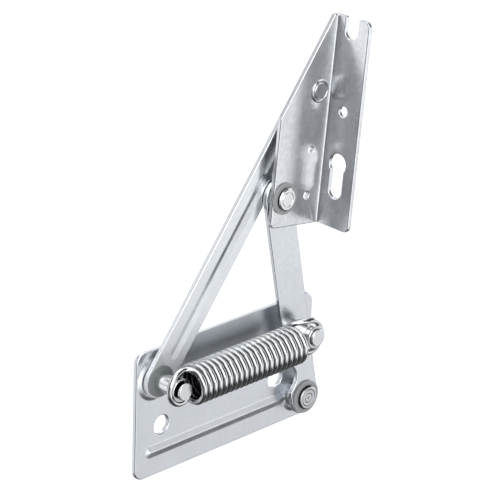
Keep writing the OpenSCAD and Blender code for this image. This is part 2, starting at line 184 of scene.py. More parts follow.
def distance_to(points, start, stop):
    """Distance of each point from the straight line between start and stop."""
    run = stop - start
    along = np.clip((points - start) @ run / (run @ run), 0, 1)
    return np.linalg.norm(points - start - along[:, None] * run, axis=1)


# Pressed forms, as heights above the flat sheet

def flat(points):
    return np.zeros(len(points))


def soft_positive(value, soft):
    """The value where it is above zero, with a rounded bend of half width soft at zero."""
    return np.where(abs(value) < soft, (value + soft) ** 2 / (4 * soft), np.maximum(value, 0))


def ramp(value, soft=0.22):
    """Rises from 0 to 1 as the value does, and stays level before and after."""
    return soft_positive(value, soft) - soft_positive(value - 1, soft)


def pressed_bar(distance, width, height, slope, soft=0.15):
    """A bar of a given width at its foot, with a flat top and sloping sides."""
    return height * ramp((width / 2 - distance) / slope, soft)


def slopes(height, points):
    """How steeply a pressed form rises at each point, along u and along v."""
    step = 0.01
    across, along = np.array([step, 0]), np.array([0, step])
    return np.column_stack([
        (height(points + across) - height(points - across)) / (2 * step),
        (height(points + along) - height(points - along)) / (2 * step),
    ])


# Sheets and turned pieces, as points, normals and faces on their own axes: u and v across the
# piece, and w from its back to its front

CONTOUR_CLEAR = 0.06
ON_CREASE = 1e-4
MERGE_DISTANCE = 1e-5


def drop_collapsed(faces):
    return [face for face in faces if len(set(face)) > 2]


def clear_of(points, loops):
    """Whether each point lies in the sheet, clear of its rounded edges."""
    gap = np.full(len(points), np.inf)
    for loop in loops:
        for start, stop in zip(loop, np.roll(loop, -1, axis=0)):
            gap = np.minimum(gap, distance_to(points, start, stop))
    return inside(points, loops) & (gap > EDGE_R + CONTOUR_CLEAR)


def rounded_edges(loops, front, back):
    """A sheet's rounded edges: points, normals and faces, and the rims at which its back face and
    its front face begin, as ranges of those points."""
    turns = np.radians(np.linspace(0, 90, EDGE_STEPS + 1))
    rows = [(-turn, EDGE_R, back) for turn in turns[::-1]]
    rows += [(turn, SHEET_T - EDGE_R, front) for turn in turns]
    points, normals, faces, back_rims, front_rims = [], [], [], [], []
    for loop in loops:
        away = outward(loop)
        count = len(loop)
        first = len(points)
        for turn, level, height in rows:
            place = loop - away * EDGE_R * (1 - math.cos(turn))
            points.extend(np.column_stack([place, level + EDGE_R * math.sin(turn) + height(place)]))
            tilt = away * math.cos(turn) - slopes(height, place) * math.sin(turn)
            normals.extend(np.column_stack([tilt, np.full(count, math.sin(turn))]))
        for row in range(len(rows) - 1):
            start = first + row * count
            for i in range(count):
                j = (i + 1) % count
                faces.append((start + i, start + j, start + j + count, start + i + count))
        back_rims.append(range(first, first + count))
        front_rims.append(range(len(points) - count, len(points)))
    return points, normals, faces, back_rims, front_rims


def fill_face(rims, contours, creases):
    """Divides the face between its rims into triangles, along its contours and creases. Gives the
    places, the triangles, and each place's number among the rims' points, None for a new place."""
    known, lines = [], []
    for rim in rims:
        start = len(known)
        lines += [(start + i, start + (i + 1) % len(rim)) for i in range(len(rim))]
        known += list(rim)
    rim_count = len(known)
    for crease in creases:
        on_crease = np.flatnonzero(np.abs(rims[0][:, 0] - crease) < ON_CREASE)
        upwards = sorted(on_crease, key=lambda i: rims[0][i, 1])
        lines.append((int(upwards[0]), int(upwards[-1])))
    for contour, clear in contours:
        numbers = len(known) + np.cumsum(clear) - 1
        ahead = np.roll(numbers, -1)
        lines += [(int(numbers[i]), int(ahead[i])) for i in np.flatnonzero(clear & np.roll(clear, -1))]
        known += list(contour[clear])
    found = delaunay_2d_cdt([Vector(point) for point in known], lines, [], 0, MERGE_DISTANCE)
    places = np.array([tuple(point) for point in found[0]])
    triangles = np.array(found[2])
    triangles = triangles[inside(places[triangles].mean(axis=1), rims)]
    rim_numbers = [next((i for i in origins if i < rim_count), None) for origins in found[3]]
    return places, triangles, rim_numbers


def sheet(outline, holes, front=flat, back=flat, contours=(), creases=()):
    """A pressed sheet with rounded edges. Front and back are the heights of its pressed forms. Its
    faces are divided along the contours, and along the creases, values of u at which it may be bent."""
    loops = [outline] + list(holes)
    points, normals, faces, back_rims, front_rims = rounded_edges(loops, front, back)
    clear_contours = [(contour, clear_of(contour, loops)) for contour in contours]
    for rims, level, height, facing in ((back_rims, 0, back, -1), (front_rims, SHEET_T, front, 1)):
        rim_points = [i for rim in rims for i in rim]
        flat_rims = [np.array([points[i][:2] for i in rim]) for rim in rims]
        places, triangles, rim_numbers = fill_face(flat_rims, clear_contours, creases)
        raised = np.column_stack([places, level + height(places)])
        tilt = np.column_stack([-facing * slopes(height, places), np.full(len(places), facing)])
        tilt /= np.linalg.norm(tilt, axis=1)[:, None]
        index = []
        for i, number in enumerate(rim_numbers):
            if number is None:
                index.append(len(points))
                points.append(raised[i])
                normals.append(tilt[i])
            else:
                index.append(rim_points[number])
        faces += [tuple(index[i] for i in triangle[::facing]) for triangle in triangles]
    return np.array(points), np.array(normals), drop_collapsed(faces)


def lathe(profile, steps=96):
    """A turned piece. The profile holds (radius, depth) points with the material on its left, closed
    or from axis to axis."""
    closed = profile[0][0] > TINY
    away = outward(profile)
    if not closed:
        away[0], away[-1] = (0, -1), (0, 1)
    points, normals, rings = [], [], []
    for (r, depth), (out, front) in zip(profile, away):
        if r < TINY:
            rings.append([len(points)] * steps)
            points.append((0, 0, depth))
            normals.append((0, 0, front))
            continue
        rings.append(range(len(points), len(points) + steps))
        for turn in np.arange(steps) * 2 * math.pi / steps:
            across, up = math.cos(turn), math.sin(turn)
            points.append((r * across, r * up, depth))
            normals.append((out * across, out * up, front))
    ahead = rings[1:] + rings[:1] if closed else rings[1:]
    faces = []
    for near, far in zip(rings, ahead):
        for i in range(steps):
            j = (i + 1) % steps
            faces.append(tuple(dict.fromkeys([near[i], near[j], far[j], far[i]])))
    return np.array(points), np.array(normals), drop_collapsed(faces)


# Places on the object. Each takes points and normals on a piece's own axes to the frame's axes.

def to_frame(v):
    return np.column_stack([v[:, 0], -v[:, 2], v[:, 1]])


def on_plane(at=(0, 0), depth=0):
    """The place of a piece that lies along the plate's plane, at a point of it and at a depth."""
    def place(points, normals):
        return np.array([at[0], -depth, at[1]]) + to_frame(points), to_frame(normals)
    return place


def add_piece(name, mesh_data, place, material, node):
    """Adds a piece that stands for a CAD node and moves with the node's body."""
    own_points, own_normals, faces = mesh_data
    points, normals = place(own_points, own_normals)
    mesh = bpy.data.meshes.new(name)
    mesh.from_pydata((points * MM).tolist(), [], faces)
    mesh.polygons.foreach_set("use_smooth", [True] * len(mesh.polygons))
    mesh.normals_split_custom_set_from_vertices(normals.tolist())
    mesh.materials.append(material)
    piece = bpy.data.objects.new(name, mesh)
    bpy.context.scene.collection.objects.link(piece)
    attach(piece, node_body[node])
    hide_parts(node)
    return piece


# Shader nodes

def feed(tree, node, inputs):
    """Sets a node's inputs to plain values, and links those whose value is another node's socket."""
    for label, value in inputs.items():
        if isinstance(value, bpy.types.NodeSocket):
            tree.links.new(value, node.inputs[label])
        else:
            node.inputs[label].default_value = value


def add_node(tree, kind, inputs, **settings):
    node = tree.nodes.new(kind)
    for setting, value in settings.items():
        setattr(node, setting, value)
    feed(tree, node, inputs)
    return node


def add_sum(tree, first, second):
    return add_node(tree, "ShaderNodeMath", {0: first, 1: second}, operation="ADD").outputs["Value"]


def add_fade(tree, value, start, full, low, high):
    """A smooth change from low to high as the value goes from start to full."""
    inputs = {"Value": value, "From Min": start, "From Max": full, "To Min": low, "To Max": high}
    fade = add_node(tree, "ShaderNodeMapRange", inputs, interpolation_type="SMOOTHSTEP")
    return fade.outputs["Result"]


# Materials. Noise scales are per metre, and the bumps' depth is in metres.

NOISE_LOW = 0.3
NOISE_HIGH = 0.7
CLOUD_SCALE = 70
CLOUD_TINT = (0, 0.7)
SPECK_SCALE = 500
SPECK_TINT = (-0.15, 0.45)
SCUFF_SCALE = 260
SCUFF_STRETCH = (1, 1, 0.25)
BUMP_DEPTH = 0.0001
# The dark colour of painted shade, put in gaps, in recesses and under rivet heads
PAINTED_SHADE_COLOUR = (0.03, 0.03, 0.035, 1)
DULL_DEPTH = 5
DULL_FROM = 16
DULL_TO = 42
DULL_METALLIC = 0.25


def metal(name, colour, roughness, grain, bump, mottle=0.05, wear=0.04, metallic=1.0, with_painted_shade=False,
          dulled_at=None):
    """A plated metal: fine grain in its bump, cloudy changes of colour and gloss, and light scuffs. A
    piece with painted shade has a point attribute that says where shade is painted on it, in a dark
    colour. A piece that is dulled at a place has its plating worn matt and whitish round it."""
    material = bpy.data.materials.new(name)
    material.use_nodes = True
    tree = material.node_tree
    shader = tree.nodes["Principled BSDF"]
    where = add_node(tree, "ShaderNodeTexCoord", {}).outputs["Object"]

    def noise(scale, detail, stretch=(1, 1, 1)):
        mapping = add_node(tree, "ShaderNodeMapping", {"Vector": where, "Scale": stretch})
        inputs = {"Vector": mapping.outputs["Vector"], "Scale": scale, "Detail": detail}
        return add_node(tree, "ShaderNodeTexNoise", inputs).outputs["Fac"]

    def spread(source, low, high):
        inputs = {"From Min": NOISE_LOW, "From Max": NOISE_HIGH, "To Min": low, "To Max": high}
        return add_node(tree, "ShaderNodeMapRange", {"Value": source, **inputs}).outputs["Result"]

    def mixed(factor, first, second):
        inputs = {"Factor": factor, "A": first, "B": second}
        return add_node(tree, "ShaderNodeMix", inputs, data_type="RGBA").outputs["Result"]

    clouds = noise(CLOUD_SCALE, detail=3)
    specks = noise(SPECK_SCALE, detail=5)
    scuffs = noise(SCUFF_SCALE, detail=6, stretch=SCUFF_STRETCH)
    darker = (*(channel * (1 - mottle) for channel in colour), 1)
    lighter = (*(min(channel * (1 + mottle), 1) for channel in colour), 1)
    share = add_sum(tree, spread(clouds, *CLOUD_TINT), spread(specks, *SPECK_TINT))
    tint = mixed(share, darker, lighter)
    # Painted shade: the colour goes dark where the point attribute says
    if with_painted_shade:
        painted_shade = add_node(tree, "ShaderNodeAttribute", {}, attribute_name="painted_shade")
        tint = mixed(painted_shade.outputs["Fac"], tint, PAINTED_SHADE_COLOUR)
    if dulled_at is not None:
        away = add_node(tree, "ShaderNodeVectorMath", {0: where, 1: dulled_at}, operation="DISTANCE")
        distance = away.outputs["Value"]
        metallic = add_fade(tree, distance, DULL_FROM * MM, DULL_TO * MM, DULL_METALLIC, metallic)
    gloss_scuffs = spread(scuffs, roughness - wear, roughness + wear)
    gloss = add_sum(tree, gloss_scuffs, spread(clouds, -wear / 2, wear / 2))
    inputs = {"Strength": bump, "Distance": BUMP_DEPTH, "Height": noise(grain, detail=2)}
    bumps = add_node(tree, "ShaderNodeBump", inputs).outputs["Normal"]
    feed(tree, shader, {"Metallic": metallic, "Base Color": tint, "Roughness": gloss, "Normal": bumps})
    return material


ARM_FOOT = (pivot_a[0] * MM, -DULL_DEPTH * MM, pivot_a[1] * MM)
plate_zinc = metal("zinc_plate", (0.75, 0.77, 0.80), 0.32, grain=1800, bump=0.12)
lever_zinc = metal("zinc_lever", (0.76, 0.78, 0.81), 0.23, grain=1800, bump=0.12)
arm_zinc = metal("zinc_arm", (0.83, 0.85, 0.87), 0.23, grain=1800, bump=0.12, dulled_at=ARM_FOOT)
bracket_zinc = metal("zinc_bracket", (0.76, 0.77, 0.79), 0.24, grain=1500, bump=0.15, mottle=0.10)
rivet_zinc = metal("zinc_rivet", (0.58, 0.59, 0.60), 0.24, grain=2500, bump=0.15)
# Zinc and steel that carry painted shade through a point attribute
painted_shade_zinc = metal("painted_shade_zinc", (0.66, 0.67, 0.68), 0.24, grain=2500, bump=0.15, with_painted_shade=True)
bright = metal("bright_steel", (0.80, 0.81, 0.82), 0.18, grain=2500, bump=0.1)
steel_with_painted_shade = metal("painted_shade_steel", (0.80, 0.81, 0.82), 0.18, grain=2500, bump=0.1, with_painted_shade=True)
# The spring's chrome carries painted shade between and inside its coils
chrome = metal("spring_chrome", (0.64, 0.65, 0.66), 0.07, grain=3000, bump=0.03, mottle=0.02, wear=0.02,
               with_painted_shade=True)
dull = metal("dull_washer", (0.24, 0.255, 0.26), 0.5, grain=2500, bump=0.3, mottle=0.06, metallic=0.0)
grey = metal("grey_washer", (0.39, 0.395, 0.40), 0.45, grain=2500, bump=0.2, mottle=0.06, metallic=0.0)


# The wall plate

SCREW_UP = 20.9
SCREW_IN = 14
SCREW_SPACING = 65
SCREW_R = 4
PLATE_CORNER_R = 4.5
BOSS_H = 0.8
BOSS_SLOPE = 1.7
BOSS_A_R = 9.2
BOSS_B_R = 8.2
BOSS_INSET = SHEET_T * math.tan(math.atan(BOSS_H / BOSS_SLOPE) / 2)
BEAD_W = 5.4
BEAD_H = 0.8
BEAD_IN = 5.5
BEAD_DROP = 0.3
BEAD_SLOPE = 2.6

# Where the plate's contours run, as shares of a boss's slope and of the bead's half width
BOSS_CONTOURS = np.linspace(-0.3, 1.3, 17)
BOSS_STEPS = 96
BEAD_CONTOURS = np.linspace(0.08, 1.2, 17)

screws = [plate_low + (SCREW_IN + offset, SCREW_UP) for offset in (0, SCREW_SPACING)]
bead_from = np.array([plate_low[0] + BEAD_IN + BEAD_W / 2, pivot_b[1] - BEAD_DROP])
bead_to = np.array([pivot_b[0] - BOSS_B_R + BOSS_SLOPE, pivot_b[1] - BEAD_DROP])
bosses = ((pivot_a, BOSS_A_R), (pivot_b, BOSS_B_R))


def boss_height(points, at, foot_r):
    return BOSS_H * ramp((foot_r - np.linalg.norm(points - at, axis=1)) / BOSS_SLOPE)


def plate_height(inset):
    """The height of the plate's pressed forms, which are narrower by an inset on its back."""
    def height(points):
        across = distance_to(points, bead_from, bead_to)
        bead = pressed_bar(across, BEAD_W - 2 * inset, BEAD_H, BEAD_SLOPE)
        return np.maximum.reduce([bead] + [boss_height(points, at, r - inset) for at, r in bosses])
    return height


def add_wall_plate():
    low, high = plate_low, plate_high
    corners = (low, (high[0], low[1]), high, (low[0], high[1]))
    outline = rounded([(x, y, PLATE_CORNER_R) for x, y in corners])
    holes = [hole(at, SCREW_R) for at in screws]
    holes += [hole(pivot_a, STUD_R), hole(pivot_b, RIVET_R)]
    contours = [
        circle(at, foot_r - BOSS_SLOPE * share, BOSS_STEPS)
        for at, foot_r in bosses
        for share in BOSS_CONTOURS
    ]
    contours += [stadium(bead_from, bead_to, BEAD_W / 2 * share) for share in BEAD_CONTOURS]
    mesh = sheet(outline, holes, plate_height(0), plate_height(BOSS_INSET), contours)
    add_piece("wall_plate", mesh, on_plane(), plate_zinc, "base_plate")


# The two links

LINK_END_STEPS = 32
ARM_W = 14.5
ARM_ANGLE = 51.7
GROOVE_W = 4.9
GROOVE_H = 0.6
GROOVE_IN = 12
GROOVE_SIDE = 0.4
GROOVE_LEFT_SLOPE = 2.5
GROOVE_RIGHT_SLOPE = 2.4
GROOVE_SPREAD = 0.6
GROOVE_SOFT = 0.06
LEVER_W = 15.2
ACCESS_R = 7.4
ACCESS_STEPS = 60

# Where the groove's contours run, as shares of its half width, and how close to its middle line its
# two sides blend
GROOVE_CONTOURS = np.linspace(0.08, 1.6, 26)
GROOVE_MIDDLE = 0.01


def groove_height(start, stop, right, spread):
    """The depth of the arm's groove, below zero. It is wider by its spread on the arm's back, and its
    left side slopes more gently than its right one."""
    def height(points):
        across = distance_to(points, start, stop)
        leftness = (start - points) @ right / np.maximum(across, GROOVE_MIDDLE)
        slope = np.interp(leftness, (-1, 1), (GROOVE_RIGHT_SLOPE, GROOVE_LEFT_SLOPE))
        return -pressed_bar(across, GROOVE_W + spread, GROOVE_H, slope, GROOVE_SOFT)
    return height


def add_long_arm():
    right = turned(1, ARM_ANGLE - 90)
    start = pivot_a + turned(GROOVE_IN, ARM_ANGLE) + GROOVE_SIDE * right
    stop = pivot_c - turned(GROOVE_IN, ARM_ANGLE) + GROOVE_SIDE * right
    outline = stadium(pivot_a, pivot_c, ARM_W / 2, LINK_END_STEPS)
    holes = [hole(pivot_a, STUD_R + PLAY), hole(pivot_c, RIVET_R)]
    contours = [stadium(start, stop, GROOVE_W / 2 * share) for share in GROOVE_CONTOURS]
    front = groove_height(start, stop, right, 0)
    back = groove_height(start, stop, right, GROOVE_SPREAD)
    mesh = sheet(outline, holes, front, back, contours)
    add_piece("long_link", mesh, on_plane(depth=arm_back), arm_zinc, "long_arm")


def with_bite(outline, middle, bite):
    """The outline with a line of points put into the edge that runs closest to the middle."""
    ahead = np.roll(outline, -1, axis=0)
    gaps = [distance_to(middle[None], here, there)[0] for here, there in zip(outline, ahead)]
    closest = int(np.argmin(gaps))
    return np.vstack([outline[:closest + 1], bite, outline[closest + 1:]])


def add_lever():
    outline = stadium(pivot_b, pivot_d, LEVER_W / 2, LINK_END_STEPS)
    left = heading(pivot_d - pivot_b) + 90
    middle = screws[1]
    edge_gap = LEVER_W / 2 - (middle - pivot_b) @ turned(1, left)
    half = math.degrees(math.acos(edge_gap / ACCESS_R))
    bite = arc(middle, ACCESS_R, left + half, left - half + 360, ACCESS_STEPS)
    holes = [hole(pivot_b, RIVET_R + PLAY), hole(pivot_d, RIVET_R), hole(stud_e, STUD_R)]
    mesh = sheet(with_bite(outline, middle, bite[::-1]), holes)
    add_piece("short_link", mesh, on_plane(depth=lever_back), lever_zinc, "lever_arm")


# The seat bracket, laid out flat along u and then bent

LEAN = 5.1
BRACKET_LEN = 85.9
SEAT_W = 16.6
BEND_R = 0.75
BEND_STEPS = 8
BRACKET_FOOT = 13.2
RIVET_D_EDGE = 6.1
RIVET_C_EDGE = 6.1
SHOULDER_UP = 46.5
TIP_W = 1.5
FOOT_RISE = 1.3
FOOT_FALL = 0.5
BRACKET_CORNER_R = 2.6
FOOT_CORNER_R = 0.5
NOTCH_CORNER_R = 0.6
TIP_CORNER_R = 0.4
SHOULDER_CORNER_R = 1.2
FIXING_IN = 7.6
KEYHOLE_UP = 15.4
KEYHOLE_RISE = 10.8
KEYHOLE_R = 4.25
KEYHOLE_STEPS = 56
SLOT_R = 3.35
SLOT_STEPS = 36
PILOT_R = 2.1
SIDE_HOLE_R = 1.5
SIDE_HOLE_STEPS = 48
SIDE_HOLE_IN = 7.9
SIDE_HOLES_UP = (12.4, 31.2)

# A little under the slot's radius, so that the two corners of the notch's floor don't meet in one point
NOTCH_FLOOR_R = SLOT_R * 0.999

bend_dir = turned(1, 90 - LEAN)
side_dir = turned(1, -LEAN)
bend_side = (pivot_c - pivot_d) @ side_dir + RIVET_C_EDGE
bracket_corner = pivot_d - BRACKET_FOOT * bend_dir + bend_side * side_dir
bend_run = math.pi / 2 * (BEND_R + SHEET_T / 2)


def from_bend(side, depth, up):
    """Vectors in the frame's axes, from their lengths across the bend, to the front and along it."""
    in_plane = np.outer(side, side_dir) + np.outer(up, bend_dir)
    return np.column_stack([in_plane[:, 0], -depth, in_plane[:, 1]])


def on_bracket(points, normals):
    """Bends the flat sheet: the side flange lies at u below 0 and the seat flange past the bend."""
    u, v, w = points.T
    turn = np.clip(u / bend_run, 0, 1) * math.pi / 2
    r = BEND_R + SHEET_T - w
    side = np.minimum(u, 0) - BEND_R + r * np.sin(turn)
    depth = bracket_front + BEND_R - r * np.cos(turn) + np.maximum(u - bend_run, 0)
    side_normal = normals[:, 0] * np.cos(turn) - normals[:, 2] * np.sin(turn)
    depth_normal = normals[:, 0] * np.sin(turn) + normals[:, 2] * np.cos(turn)
    corner = np.array([bracket_corner[0], 0, bracket_corner[1]])
    return corner + from_bend(side, depth, v), from_bend(side_normal, depth_normal, normals[:, 1])


def on_flat(at):
    """A place in the plate's plane as (u, v) on the flat bracket's side flange."""
    away = at - bracket_corner
    return np.array([away @ side_dir + BEND_R, away @ bend_dir])


def split_at(loop, values):
    """The loop with a point wherever it crosses one of these values of u."""
    points = []
    for here, ahead in zip(loop, np.roll(loop, -1, axis=0)):
        points.append(here)
        low, high = min(here[0], ahead[0]), max(here[0], ahead[0])
        crossed = [value for value in values if low + TINY < value < high - TINY]
        for value in sorted(crossed, reverse=bool(here[0] > ahead[0])):
            points.append(here + (ahead - here) * (value - here[0]) / (ahead[0] - here[0]))
    return np.array(points)


def keyhole(middle):
    top = middle + (0, KEYHOLE_RISE)
    meet = math.degrees(math.asin(SLOT_R / KEYHOLE_R))
    loop = np.vstack([
        arc(top, KEYHOLE_R, meet - 90, 270 - meet, KEYHOLE_STEPS),
        arc(middle, SLOT_R, 180, 360, SLOT_STEPS),
    ])
    return loop[::-1]


def add_bracket():
    seat_end = bend_run + SEAT_W - BEND_R
    fixing = bend_run + FIXING_IN - BEND_R
    left = BEND_R - bend_side - RIVET_D_EDGE
    notch_floor = KEYHOLE_UP + SCREW_SPACING - SLOT_R
    outline = rounded([
        (left, FOOT_RISE, BRACKET_CORNER_R),
        (-SHEET_T, 0, FOOT_CORNER_R),
        (bend_run, 0, 0),
        (seat_end, -FOOT_FALL, BRACKET_CORNER_R),
        (seat_end, BRACKET_LEN, BRACKET_CORNER_R),
        (fixing + SLOT_R, BRACKET_LEN, NOTCH_CORNER_R),
        (fixing + SLOT_R, notch_floor, NOTCH_FLOOR_R),
        (fixing - SLOT_R, notch_floor, NOTCH_FLOOR_R),
        (fixing - SLOT_R, BRACKET_LEN, NOTCH_CORNER_R),
        (BEND_R - TIP_W, BRACKET_LEN, TIP_CORNER_R),
        (left, SHOULDER_UP, SHOULDER_CORNER_R),
    ], steps=12)
    creases = [bend_run * share / BEND_STEPS for share in range(BEND_STEPS + 1)]
    outline = split_at(outline, creases)
    holes = [keyhole(np.array([fixing, KEYHOLE_UP]))]
    holes += [hole((fixing, KEYHOLE_UP + SCREW_SPACING / 2), PILOT_R)]
    holes += [hole((BEND_R - SIDE_HOLE_IN, up), SIDE_HOLE_R, SIDE_HOLE_STEPS) for up in SIDE_HOLES_UP]
    holes += [hole(on_flat(pivot_d), RIVET_R + PLAY), hole(on_flat(pivot_c), RIVET_R)]
    mesh = sheet(outline, holes, creases=creases)
    add_piece("bent_bracket", mesh, on_bracket, bracket_zinc, "seat_bracket")


# Rivets, studs, washers and sleeves, as turned profiles

BACK_PLAY = 0.1
TAIL_FLARE = 2.0
STOP_FLARE = 1.2
STOP_CLEAR = 0.25
HEAD_B_R = 5.1
HEAD_D_R = 4.7
HEAD_T = 1.3
HEAD_BEVEL_H = 0.45
HEAD_BEVEL_W = 0.55
RINGS_B = (3.6, 2.0)
RINGS_D = (3.0,)
RING_HALF = 0.16
RING_B_DEPTH = 0.5
RING_D_DEPTH = 0.15
DIMPLE_R = 0.7
DIMPLE_B_DEPTH = 0.35
DIMPLE_D_DEPTH = 0.02
FLAT_BEVEL_H = 0.3
FLAT_BEVEL_W = 0.4
CHANNEL_IN = 1.25
CHANNEL_HALF = 0.35
CHANNEL_DEPTH = 0.35
HOOK_SEAT_R = 3.3
COLLAR_R = 4.8
COLLAR_T = 0.8
NECK_R = 2.3
PIVOT_NECK = 1.2
SPRING_NECK = 0.2
END_R = 3.6
END_T = 1.0

# Radii at the corners of the profiles
FILLET = 0.1
SMALL_FILLET = 0.05
RIM_FILLET = 0.2
TAIL_FILLET = 0.25
OPEN_TAIL_FILLET = 0.3
BEVEL_FILLET = 0.15
RING_FILLET = 0.02
CHANNEL_FILLET = 0.08
COLLAR_FILLET = 0.25
NECK_FILLET = 0.15
END_FILLET = 0.4
WASHER_FILLET = 0.15
SLEEVE_FILLET = 0.3

# The largest fillet of a washer or sleeve, as a share of its thickness
FILLET_SHARE = 0.4

# How far the painted shade stays below the faces of heads B and D and inside the rims of the studs' ends,
# and how far it goes past the depths that are given for it
SHADE_FREE_B = 0.15
SHADE_FREE_D = 0.5
SHADE_FREE_END = 0.1
PAINTED_SHADE_MARGIN = 0.02

# Rivet D's tail is the open stop: it touches the long arm's edge, but for a little room
arm_left = turned(1, ARM_ANGLE + 90)
stop_r = min(RIVET_R + STOP_FLARE, abs((pivot_d - pivot_a) @ arm_left) - ARM_W / 2 - STOP_CLEAR)


def add_ring(node, inner, material, fillet):
    seat = measure(node)
    r = min(fillet, (seat.front - seat.back) * FILLET_SHARE)
    profile = rounded([
        (inner, seat.back, r), (seat.r, seat.back, r), (seat.r, seat.front, r), (inner, seat.front, r),
    ], steps=4)
    add_piece(node + "_turned", lathe(profile), on_plane(seat.middle), material, node)


def add_turned(node, at, corners, material=bright):
    profile = rounded(corners, steps=5, closed=False)
    return add_piece(node + "_turned", lathe(profile), on_plane(at), material, node)


def add_with_painted_shade(node, at, corners, back, front, widest=math.inf, material=steel_with_painted_shade):
    """A turned piece with shade painted dark on it between two depths, up to a radius."""
    piece = add_turned(node, at, corners, material)
    # Painted shade: 1 between the two depths and inside the radius, 0 elsewhere
    painted_shade = []
    for vertex in piece.data.vertices:
        r = math.hypot(vertex.co.x / MM - at[0], vertex.co.z / MM - at[1])
        between = back - PAINTED_SHADE_MARGIN < -vertex.co.y / MM < front + PAINTED_SHADE_MARGIN
        painted_shade.append(float(between and r < widest))
    piece.data.attributes.new("painted_shade", "FLOAT", "POINT").data.foreach_set("value", painted_shade)


def tail(r, flare_r, back, front, fillet=TAIL_FILLET):
    """A rivet's tail, from its back to the step at which the shank begins."""
    return [(0, back, 0), (flare_r, back, fillet), (flare_r, front, FILLET), (r, front, FILLET)]


def ringed_head(back, r, ring_depth, dimple_depth, rings):
    """A pressed rivet head: bevelled rim, rings pressed into its face and a dimple in its middle."""
    front = back + HEAD_T
    corners = [
        (RIVET_R, back, SMALL_FILLET), (r, back, FILLET),
        (r, front - HEAD_BEVEL_H, RIM_FILLET), (r - HEAD_BEVEL_W, front, BEVEL_FILLET),
    ]
    for middle in rings:
        corners += [
            (middle + RING_HALF, front, SMALL_FILLET),
            (middle, front - ring_depth, RING_FILLET),
            (middle - RING_HALF, front, SMALL_FILLET),
        ]
    return corners + [(DIMPLE_R, front, FILLET), (0, front - dimple_depth, 0)]


def flat_head(back, front, r):
    """A thin rivet head with a bevelled rim and one round channel in its face."""
    channel = r - CHANNEL_IN
    return [
        (RIVET_R, back, SMALL_FILLET), (r, back, FILLET),
        (r, front - FLAT_BEVEL_H, FILLET), (r - FLAT_BEVEL_W, front, FILLET),
        (channel + CHANNEL_HALF, front, FILLET), (channel, front - CHANNEL_DEPTH, CHANNEL_FILLET),
        (channel - CHANNEL_HALF, front, FILLET), (0, front, 0),
    ]


def stud_front(neck):
    """The hook's seat, collar, neck and round end in front of a stud's sleeve."""
    seat_back = sleeve_e.front
    collar_front = collar_back + COLLAR_T
    end_back = collar_front + neck
    end_front = end_back + END_T
    return [
        (STUD_R, seat_back, FILLET), (HOOK_SEAT_R, seat_back, FILLET),
        (HOOK_SEAT_R, collar_back, FILLET), (COLLAR_R, collar_back, RIM_FILLET),
        (COLLAR_R, collar_front, COLLAR_FILLET), (NECK_R, collar_front, NECK_FILLET),
        (NECK_R, end_back, FILLET), (END_R, end_back, RIM_FILLET),
        (END_R, end_front, END_FILLET), (0, end_front, 0),
    ]


def add_stud(node, at, corners, neck):
    """A stud whose narrow neck, in front of its collar, has shade painted dark on it."""
    neck_back = collar_back + COLLAR_T
    front_corners = stud_front(neck)
    add_with_painted_shade(node, at, corners + front_corners, neck_back, neck_back + neck, END_R - SHADE_FREE_END)


def add_rivets():
    add_stud("pivot_stud", pivot_a, tail(STUD_R, STUD_R + TAIL_FLARE, BACK_PLAY, BOSS_H), PIVOT_NECK)
    add_stud("spring_stud", stud_e, [(0, lever_back, 0), (STUD_R, lever_back, RIM_FILLET)], SPRING_NECK)

    # Rivets B and D carry painted shade round their heads' rims, below their faces
    back, front = washer_b.front, washer_b.front + HEAD_T
    corners = tail(RIVET_R, RIVET_R + TAIL_FLARE, BACK_PLAY, BOSS_H)
    corners += ringed_head(back, HEAD_B_R, RING_B_DEPTH, DIMPLE_B_DEPTH, RINGS_B)
    add_with_painted_shade("rivet_b", pivot_b, corners, back, front - SHADE_FREE_B, material=painted_shade_zinc)

    back, front = washer_d.front, washer_d.front + HEAD_T
    stop_back = measure("rivet_d").back
    corners = tail(RIVET_R, stop_r, stop_back, stop_back + SHEET_T)
    corners += ringed_head(back, HEAD_D_R, RING_D_DEPTH, DIMPLE_D_DEPTH, RINGS_D)
    add_with_painted_shade("rivet_d", pivot_d, corners, back, front - SHADE_FREE_D)

    head = measure("rivet_c")
    corners = [(0, head.back, 0), (RIVET_R, head.back, FILLET)]
    corners += flat_head(bracket_front, head.front, head.r)
    add_turned("rivet_c", pivot_c, corners, rivet_zinc)

    rear = measure("rivet_c_tail")
    corners = tail(RIVET_R, rear.r, rear.back, rear.back + BOSS_H, OPEN_TAIL_FILLET)
    corners += [(RIVET_R, rear.front, FILLET), (0, rear.front, 0)]
    add_turned("rivet_c_tail", pivot_c, corners)


def add_rings():
    for node in ("rear_washer_a", "front_washer_a"):
        add_ring(node, STUD_R, dull, WASHER_FILLET)
    for node in ("front_washer_b", "middle_washer_d", "front_washer_d"):
        add_ring(node, RIVET_R, grey, WASHER_FILLET)
    for node, inner in (("spacer_b", RIVET_R), ("spacer_c", RIVET_R),
                        ("sleeve_a", STUD_R + PLAY), ("sleeve_e", STUD_R)):
        add_ring(node, inner, bright, SLEEVE_FILLET)


# The spring: one wire from the near hook through the coils to the far hook, on its own axes: from
# stud to stud, to the back, and up

COIL_R = 7.2
COIL_FORWARD = 0.6
COIL_GAP = 0.45
CAD_WIRE_D = 2.3
NEAR_NECK = 3.3
FAR_NECK = 8.1
HOOK_PLAY = 0.3
HOOK_END = 300
HOOK_TUCK = 1.5
HOOK_TUCK_FROM = 200
NEAR_JOIN = 94
FAR_JOIN = 100
JOIN_REACH = 0.46
LEAVE_TURN = 78 / 360
NEXT_TURN = 0.01
COIL_RINGS = 44
HOOK_RINGS = 60
BEND_RINGS = 18
WIRE_SIDES = 20
WIRE_END_R = 0.2
